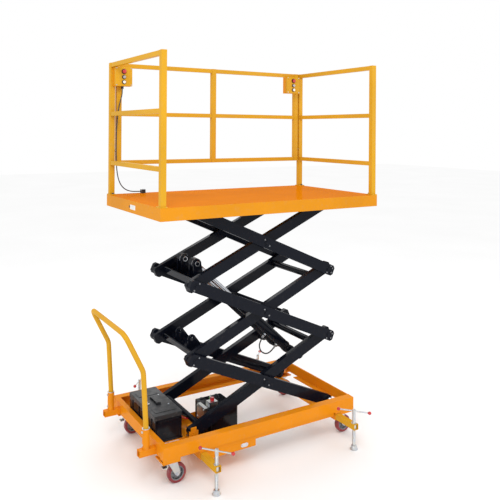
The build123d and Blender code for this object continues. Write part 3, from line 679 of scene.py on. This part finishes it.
for stage in (1, 2, 3):
    plates, bolts = bmesh.new(), bmesh.new()
    for side in (-1, 1):
        keeper(plates, bolts, falling_point(stage, ARM_LENGTH / 2, 0), side, -0.9)
        if stage > 1:
            keeper(plates, bolts, falling_point(stage, ARM_LENGTH, 0), side, 0.8, 29.0)
            retainer(plates, bolts, stage, side)
        if stage < 3:
            keeper(plates, bolts, falling_point(stage, 0, 0), side, 0.8, 29.0)
    body = "outer_arm_pair_%d" % stage
    finish_mesh("outer_arm_keepers_%d" % stage, plates, body, ARM_BLACK)
    finish_mesh("outer_arm_bolts_%d" % stage, bolts, body, DULL_AND_SHADE)

# ---- lift cylinders: glands, port fittings and hose ends ----
bm = bmesh.new()
for y in (-CYLINDER_Y, CYLINDER_Y):
    mouth = by_barrel(BARREL_LENGTH - 26, 0, y)
    end = by_barrel(BARREL_LENGTH - 2, 0, y)
    add_ring(bm, mouth, end, 38.5, 35.8, 1.2, 48)
    foot = by_barrel(36, 0, y)
    add_ring(bm, foot, by_barrel(48, 0, y), 38.0, 35.8, 3.0, 48)
finish_mesh("barrel_collars", bm, "cylinder_barrels", ARM_BLACK)
bm = bmesh.new()
down = BARREL_UNDER
for along in (120, 262):
    root = by_barrel(along, 36)
    add_lathe(bm, root, down, [(0, 0), (12.5, 0), (12.5, 9), (11.2, 10), (0, 10)], 6)
    crimp = [(0, 13), (7, 13), (7.8, 14)]
    for step in range(5):
        crimp += [(7.8, 15.5 + step * 4), (7.0, 16.5 + step * 4), (7.0, 17.5 + step * 4)]
    crimp += [(7.8, 36), (7.2, 37), (0, 37)]
    add_lathe(bm, root, down, crimp, 28)
finish_mesh("hose_ends", bm, "cylinder_barrels", ZINC)
bm = bmesh.new()
for y in (-CYLINDER_Y, CYLINDER_Y):
    for side in (-1, 1):
        start = Vector((ROD_PIN.x, y + side * 40.3, ROD_PIN.z))
        add_ring(bm, start, start + Vector((0, side * 3.0, 0)), 19.0, 12.2)
        cotter = Vector((ROD_PIN.x, y + side * 45.5, ROD_PIN.z))
        add_rod(bm, cotter - Vector((9, 0, 12)), cotter + Vector((9, 0, 12)), 1.6, 0.3, 14)
finish_mesh("clevis_washers", bm, "inner_arm_pair_3", ZINC)

# ---- casters: wheels, ball races, nuts and pedal treads ----
CASTER_PLATE_UNDER = 164.0
BALL_RACE_Z = 148.0
TYRE = [(46.5, -16.5), (58, -17.8), (62.5, -16), (64.6, -12), (65, -7), (65, 7)]
TYRE += [(64.6, 12), (62.5, 16), (58, 17.8), (46.5, 16.5), (46.5, -16.5)]
CORE = [(6.3, -20), (15, -20), (16, -19), (19, -9), (36, -6), (41, -15.6), (46.9, -17)]
CORE += [(radius, -distance) for radius, distance in reversed(CORE)] + [(6.3, -20)]
for corner in CORNERS:
    axle = joint_point("caster_roll_" + corner)
    body = "caster_wheel_" + corner
    bm = bmesh.new()
    add_lathe(bm, axle, (0, 1, 0), TYRE, 72)
    tyre = finish_mesh("tyre_" + corner, bm, body, TYRE_RED)
    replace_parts(tyre, "caster_wheel_" + corner)
    bm = bmesh.new()
    # The cores are dark steel, partly painted shade for the shade in their dished webs.
    add_lathe(bm, axle, (0, 1, 0), CORE, 56)
    for way in (-1, 1):
        for spoke in range(6):
            turn = math.pi * spoke / 3
            rib = Vector((math.cos(turn), 0.0, math.sin(turn)))
            hub = axle + Vector((0.0, way * 9.0, 0.0))
            add_rod(bm, hub + rib * 15.5, hub + rib * 41.0, 3.2, 0.6, 14)
    finish_mesh("wheel_core_" + corner, bm, body, DULL_AND_SHADE)
    swivel = joint_point("caster_swivel_" + corner)
    bm = bmesh.new()
    race = [(29, 0), (35, 0), (37, 2), (37, 6), (33, 9), (29, 9), (29, 0)]
    add_lathe(bm, (swivel.x, swivel.y, BALL_RACE_Z), (0, 0, 1), race, 48)
    for side in (-1, 1):
        nut = Vector((axle.x, axle.y + side * 26.2, axle.z))
        add_lathe(bm, nut, (0, side, 0), [(0, 0), (12, 0), (12, 1.6), (0, 1.6)], 32)
        add_lathe(bm, nut, (0, side, 0), [(0, 1), (9.8, 1), (9.8, 6), (8.6, 7), (0, 7)], 6)
    finish_mesh("caster_hardware_" + corner, bm, "caster_fork_" + corner, ZINC)
bm = bmesh.new()
for corner in CORNERS:
    swivel = joint_point("caster_swivel_" + corner)
    for dx in (-32, 32):
        for dy in (-32, 32):
            place = (swivel.x + dx, swivel.y + dy, CASTER_PLATE_UNDER)
            add_bolt(bm, place, (0, 0, -1), 7.0)
finish_mesh("caster_bolts", bm, "base", ZINC)
for corner in ("front_left", "back_left"):
    low, high = node_box("brake_pedal_" + corner)
    bm = bmesh.new()
    for step in range(4):
        x = low.x + 3.5 + step * 6.2
        add_block(bm, (x, low.y + 3, 117.8), (x + 3, high.y - 3, 119.4), 0.6)
    body = body_of("brake_pedal_" + corner)
    finish_mesh("pedal_tread_" + corner, bm, body, RUBBER)

# ---- outriggers: threaded spindles, cross bars, balls and feet ----
THREAD_PITCH = 5.0
THREAD_DEPTH = 1.3
THREAD_START = 31.0
THREAD_LENGTH = 220.0
SPINDLE_RADIUS = 12.0
BALL_RADIUS = 12.0


def thread(distance, angle):
    """How far the thread cuts in at a distance along the spindle and an angle round it."""
    phase = (distance / THREAD_PITCH - angle / (2 * math.pi)) % 1.0
    flank = abs(phase - 0.5) * 2.0
    return -THREAD_DEPTH * min(1.0, max(0.0, flank * 2.2 - 0.6))


JACK_BAR_Z = 275.0
for corner in CORNERS:
    place = joint_point("jack_spin_" + corner)
    x, y = place.x, place.y
    body = body_of("jack_screw_" + corner)
    bm = bmesh.new()
    add_lathe(bm, (x, y, 22.2), (0, 0, 1), [(0, 0), (9, 0), (9, 6), (10.6, 8), (10.6, 9)], 28)
    steps = int(THREAD_LENGTH / THREAD_PITCH * (8))
    heights = [THREAD_START + THREAD_LENGTH * i / steps for i in range(steps + 1)]
    turns = [(SPINDLE_RADIUS, height) for height in heights]
    add_lathe(bm, (x, y, 0), (0, 0, 1), turns, 28, thread)
    neck = [(12, 251), (12, 262), (12, 284), (11, 286.6), (0, 287)]
    add_lathe(bm, (x, y, 0), (0, 0, 1), neck, 36)
    spindle = finish_mesh("spindle_" + corner, bm, body, ZINC, 40)
    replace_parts(spindle, "jack_screw_" + corner)
    turn = math.radians(-50.0 if y < 0 else 50.0)
    reach = Vector((math.cos(turn), math.sin(turn), 0.0)) * 113.0
    middle = Vector((x, y, JACK_BAR_Z))
    bm = bmesh.new()
    add_rod(bm, middle - reach, middle + reach, 5.0, 0.6, 24)
    finish_mesh("cross_bar_" + corner, bm, body, ZINC)
    bm = bmesh.new()
    for end in (-1, 1):
        profile = []
        for step in range(17):
            angle = math.pi * step / 16
            profile.append((BALL_RADIUS * math.sin(angle), -BALL_RADIUS * math.cos(angle)))
        profile[0], profile[-1] = (0.0, -BALL_RADIUS), (0.0, BALL_RADIUS)
        ball = middle + reach * end
        add_lathe(bm, ball, reach * end, profile, 32)
        inner = ball - reach.normalized() * end * 13.5
        add_lathe(bm, inner, reach * end, [(0, 0), (7, 0), (8.2, 4), (0, 4)], 28)
    finish_mesh("bar_balls_" + corner, bm, body, RED, 60)
    foot = [(0, 0), (28.4, 0), (29, 0.8), (28.6, 4), (25.6, 6), (23, 16), (20.6, 19)]
    foot += [(20.2, 26), (18.6, 29.6), (12.3, 30), (12.3, 22.4), (0, 22.4)]
    bm = bmesh.new()
    add_lathe(bm, (x, y, 0), (0, 0, 1), foot, 48)
    shoe = finish_mesh("foot_" + corner, bm, body_of("jack_foot_" + corner), ZINC)
    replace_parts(shoe, "jack_foot_" + corner)

# ---- buttons and control boxes ----
BUTTON_LOOKS = {"stop": RED, "up": GREY, "down": WHITE}
COVER_FRONT = 396.0
BOX_CENTRES = (-722.0, 838.0)
BOX_MIDDLE = 2705.0
for end in ("left", "right"):
    bezels = bmesh.new()
    for kind, look in BUTTON_LOOKS.items():
        node = "button_%s_%s" % (kind, end)
        low, high = node_box(node)
        x, z = (low.x + high.x) / 2, (low.z + high.z) / 2
        radius = (high.z - low.z) / 2
        near = low.y
        dish = 1.2 if kind == "stop" else -0.8
        cap = [(0, 1.0 - dish), (radius * 0.5, 1.2 - dish * 0.4), (radius * 0.82, 1.5)]
        cap += [(radius - 0.4, 2.8), (radius, 4.0), (radius, 8.4), (radius - 0.8, 9.4)]
        cap += [(radius * 0.62, 9.6), (radius * 0.62, high.y - near), (0, high.y - near)]
        bm = bmesh.new()
        add_lathe(bm, (x, near, z), (0, 1, 0), cap, 48)
        top = finish_mesh(node + ".cap", bm, body_of(node), look, 50)
        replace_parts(top, node)
        front, back = (x, COVER_FRONT - 1.8, z), (x, COVER_FRONT + 0.5, z)
        add_ring(bezels, front, back, radius + 4.5, radius * 0.62 + 1.4)
    finish_mesh("button_bezels_" + end, bezels, "deck", BLACK)
bm = bmesh.new()
for x in BOX_CENTRES:
    for dx in (-57, 57):
        for dz in (-63, 63):
            place = (x + dx, COVER_FRONT + 0.2, BOX_MIDDLE + dz)
            add_cap_screw(bm, place, (0, -1, 0), 4.2, 2.6)
finish_mesh("control_box_screws", bm, "deck", ZINC)

# ---- the push handle's clamp bolts and the base's bolts ----
SOCKET_X = -829.5
SOCKET_OUTER_X = -853.0
SOCKET_TOP = 370.0
BRACKET_BOLT_Z = 208.0
CROSS_TUBES = (-481.0, 648.0)
CROSS_TUBE_UNDER = 141.9
bm = bmesh.new()
for y in (-338.0, 338.0):
    for z in (352.0, 268.0):
        add_bolt(bm, (SOCKET_OUTER_X, y, z), (-1, 0, 0), 8.0)
    collar = (SOCKET_X, y, SOCKET_TOP)
    add_ring(bm, collar, (SOCKET_X, y, SOCKET_TOP + 5), 25.5, 18.8, 1.2)
finish_mesh("handle_clamps", bm, "base", ZINC)
bm = bmesh.new()
for side in (-1, 1):
    for y in (side * 251.2, side * 310.2):
        out = side if abs(y) > 280 else -side
        add_bolt(bm, (PIVOT_X - 24, y, BRACKET_BOLT_Z), (0, out, 0), 7.0)
        add_bolt(bm, (PIVOT_X + 24, y, BRACKET_BOLT_Z), (0, out, 0), 7.0)
for x in CROSS_TUBES:
    for side in (-1, 1):
        for dx in (-15, 15):
            add_bolt(bm, (x + dx, side * 446, CROSS_TUBE_UNDER), (0, 0, -1), 8.0)
finish_mesh("base_bolts", bm, "base", ZINC)


# ---- the oval latch on the tray's front ----
def oval(length, height, steps=14):
    """The outline of a flat oval with round ends."""
    reach = (length - height) / 2
    points = []
    for way in (1, -1):
        for step in range(steps + 1):
            angle = math.pi * step / steps - math.pi / 2
            x = math.cos(angle) * height / 2 * way + reach * way
            points.append((x, math.sin(angle) * height / 2 * way))
    return points


LATCH_X, LATCH_Y, LATCH_Z = -163.0, -467.5, 153.0
bm = bmesh.new()
wall = Matrix.Translation((LATCH_X, LATCH_Y, LATCH_Z)) @ Matrix.Rotation(math.pi / 2, 4, "X")
add_prism(bm, oval(58, 27), 4.0, wall, 1.2)
for x in (LATCH_X - 18, LATCH_X + 18):
    add_cap_screw(bm, (x, LATCH_Y - 3.9, LATCH_Z), (0, -1, 0), 4.0, 2.4)
finish_mesh("tray_latch", bm, "base", BRIGHT)

# ---- caps on the side rails' left ends ----
bm = bmesh.new()
for side in (-1, 1):
    low_y, high_y = sorted((side * 416.5, side * 471.2))
    add_block(bm, (-766.6, low_y, 204.8), (-761.0, high_y, 275.2), 0.8)
finish_mesh("rail_end_caps", bm, "base", ORANGE)

# ---- battery box and lid ----
BOX_LOW, BOX_HIGH = node_box("battery_box")
bm = bmesh.new()
front = BOX_LOW.y
for x0, x1, z0, z1 in (
    (BOX_LOW.x + 8, BOX_HIGH.x - 8, 204, 214),
    (BOX_LOW.x + 8, BOX_HIGH.x - 8, 330, 342),
    (BOX_LOW.x + 8, BOX_LOW.x + 20, 204, 342),
    (BOX_HIGH.x - 20, BOX_HIGH.x - 8, 204, 342),
):
    add_block(bm, (x0, front - 4, z0), (x1, front + 1, z1), 1.6)
for y in (-170, -50, 60, 180):
    add_block(bm, (BOX_LOW.x - 5, y - 5, 202), (BOX_LOW.x + 1, y + 5, 344), 1.6)
add_block(bm, (BOX_LOW.x - 7, -236, 196.2), (BOX_HIGH.x + 5, 242, 206), 2.0)
finish_mesh("battery_box_ribs", bm, "base", TANK_BLACK)
bm = bmesh.new()
LID_TOP = node_box("battery_lid")[1].z
add_block(bm, (-640, -60, LID_TOP - 1), (-604, -48, LID_TOP + 12), 2.0)
add_block(bm, (-640, 48, LID_TOP - 1), (-604, 60, LID_TOP + 12), 2.0)
add_block(bm, (-636, -60, LID_TOP + 9), (-608, 60, LID_TOP + 15), 2.4)
for y in (-150, 150):
    add_block(bm, (-700, y - 40, LID_TOP - 1), (-545, y + 40, LID_TOP + 2.4), 1.0)
finish_mesh("lid_grip", bm, body_of("battery_lid"), BLACK)
bm = bmesh.new()
for y in (-30, 30):
    add_ring(bm, (-690, y, LID_TOP - 0.5), (-690, y, LID_TOP + 7), 12, 6, 1.0, 32)
    add_rod(bm, (-690, y, LID_TOP - 0.5), (-690, y, LID_TOP + 4), 6.2, 0.6, 24)
    add_bolt(bm, (-560, y * 3, LID_TOP - 0.2), (0, 0, 1), 6.0)
finish_mesh("lid_fittings", bm, body_of("battery_lid"), ZINC)
wire(
    "gauge_lead",
    [(-690, -30, LID_TOP + 4), (-690, -30, LID_TOP + 20), (-700, 0, LID_TOP + 26)]
    + [(-690, 30, LID_TOP + 20), (-690, 30, LID_TOP + 4)],
    2.6,
    body_of("battery_lid"),
    GREY,
)
bm = bmesh.new()
for y in (-120, 110):
    for dy in (-55, 55):
        add_rod(bm, (-640, y + dy, 330), (-640, y + dy, 344), 8, 1.0, 24)
finish_mesh("battery_posts", bm, "base", COPPER)

# ---- power unit: motor, terminals, valve and leads ----
MOTOR_Y, MOTOR_Z = -150.0, 179.0
bm = bmesh.new()
for x in (-426.5, -336.0):
    add_ring(bm, (x, MOTOR_Y, MOTOR_Z), (x + 7, MOTOR_Y, MOTOR_Z), 46.8, 43.5, 1.0, 48)
for step in range(4):
    x = -410 + step * 18
    add_ring(bm, (x, MOTOR_Y, MOTOR_Z), (x + 3, MOTOR_Y, MOTOR_Z), 45.9, 44.0, 0.6, 48)
add_rod(bm, (-250, 10, 315), (-250, 10, 322), 12, 1.0)
finish_mesh("motor_bands", bm, "base", BLACK)
bm = bmesh.new()
for y in (MOTOR_Y - 14, MOTOR_Y + 14):
    add_rod(bm, (-380, y, MOTOR_Z + 40), (-380, y, MOTOR_Z + 54), 4, 0.6, 18)
    add_bolt(bm, (-380, y, MOTOR_Z + 45), (0, 0, 1), 6.0)
for y in (-178, -82):
    for z in (242, 318):
        add_cap_screw(bm, (-328, y, z), (-1, 0, 0), 5.0, 5.0)
finish_mesh("motor_terminals", bm, "base", ZINC)
bm = bmesh.new()
cap = [(0, 24), (14, 24), (17.6, 21), (18.4, 19), (18.4, 4), (17.2, 2), (17.2, 0)]
add_lathe(bm, (-146, -30, 315), (0, 0, 1), cap, 40)
add_ring(bm, (-146, -30, 315), (-146, -30, 318), 22, 17.3)
finish_mesh("filler_ring", bm, "base", BLACK)
RELIEF_X, RELIEF_Y = -210.0, -60.0
bm = bmesh.new()
add_rod(bm, (RELIEF_X, RELIEF_Y, 314.5), (RELIEF_X, RELIEF_Y, 346), 11, 1.6)
finish_mesh("relief_body", bm, "base", GREEN)
bm = bmesh.new()
add_rod(bm, (RELIEF_X, RELIEF_Y, 345), (RELIEF_X, RELIEF_Y, 358), 8.5, 1.4)
finish_mesh("relief_cap", bm, "base", WHITE)
wire(
    "red_lead",
    [(-523, -120, 318), (-500, -120, 318), (-470, -140, 280), (-420, -140, 262)]
    + [(-385, -160, 262), (-380, -164, 236)],
    4.2,
    "base",
    RED,
)
wire(
    "black_lead",
    [(-523, -90, 318), (-496, -90, 318), (-462, -110, 288), (-415, -118, 268)]
    + [(-382, -132, 264), (-380, -136, 236)],
    4.2,
    "base",
    RUBBER,
)
wire(
    "valve_lead",
    [(-222, -170, 345), (-205, -170, 348), (-196, -130, 362), (-206, -90, 362), (-210, -60, 357)],
    2.2,
    "base",
    RUBBER,
)

# ---- blank label on the deck's skirt ----
SKIRT_X = -812.0
bm = bmesh.new()
add_block(bm, (SKIRT_X - 0.5, -82, 1752), (SKIRT_X + 0.2, 14, 1784), 0.2)
finish_mesh("blank_label", bm, "deck", WHITE)
bm = bmesh.new()
add_rod(bm, (SKIRT_X + 0.2, 28, 1768), (SKIRT_X - 1.6, 28, 1768), 8.0, 0.5, 28)
finish_mesh("label_rivet", bm, "deck", BLACK)

# ---- floor and light ----
floor_material, floor_tree, floor_shader = start_material("pale_floor")
floor_tone = add_range(floor_tree, add_noise(floor_tree, 0.6, 2.0), 0.3, 0.7, 0.0, 1.0)
floor_colour = add_blend(floor_tree, floor_tone, (0.955, 0.955, 0.955), (0.975, 0.975, 0.975))
floor_tree.links.new(floor_colour, floor_shader.inputs["Base Color"])
floor_shader.inputs["Roughness"].default_value = 0.9
floor_shader.inputs["Specular IOR Level"].default_value = 0.0
bm = bmesh.new()
bmesh.ops.create_grid(bm, x_segments=2, y_segments=2, size=30.0)
floor_mesh = bpy.data.meshes.new("floor")
bm.to_mesh(floor_mesh)
bm.free()
floor_mesh.materials.append(floor_material)
floor = bpy.data.objects.new("floor", floor_mesh)
floor.location.z = -0.0005
bpy.context.scene.collection.objects.link(floor)

world = bpy.data.worlds.new("studio")
world.use_nodes = True
background = world.node_tree.nodes["Background"]
background.inputs["Color"].default_value = (1.0, 1.0, 1.0, 1.0)
background.inputs["Strength"].default_value = 1.0
bpy.context.scene.world = world


def area_light(name, place, target, size, power):
    light = bpy.data.lights.new(name, "AREA")
    light.shape = "DISK"
    light.size = size
    light.energy = power
    lamp = bpy.data.objects.new(name, light)
    lamp.location = place
    towards = Vector(target) - Vector(place)
    lamp.rotation_euler = towards.to_track_quat("-Z", "Y").to_euler()
    bpy.context.scene.collection.objects.link(lamp)


area_light("key", (-2.6, -3.6, 5.2), (0.0, 0.0, 1.2), 2.2, 90.0)
area_light("fill", (3.8, -3.4, 3.4), (0.2, 0.0, 1.2), 3.2, 22.0)
area_light("back", (1.0, 4.2, 4.6), (0.0, 0.0, 1.6), 2.4, 40.0)
bpy.context.scene.view_settings.view_transform = "Standard"
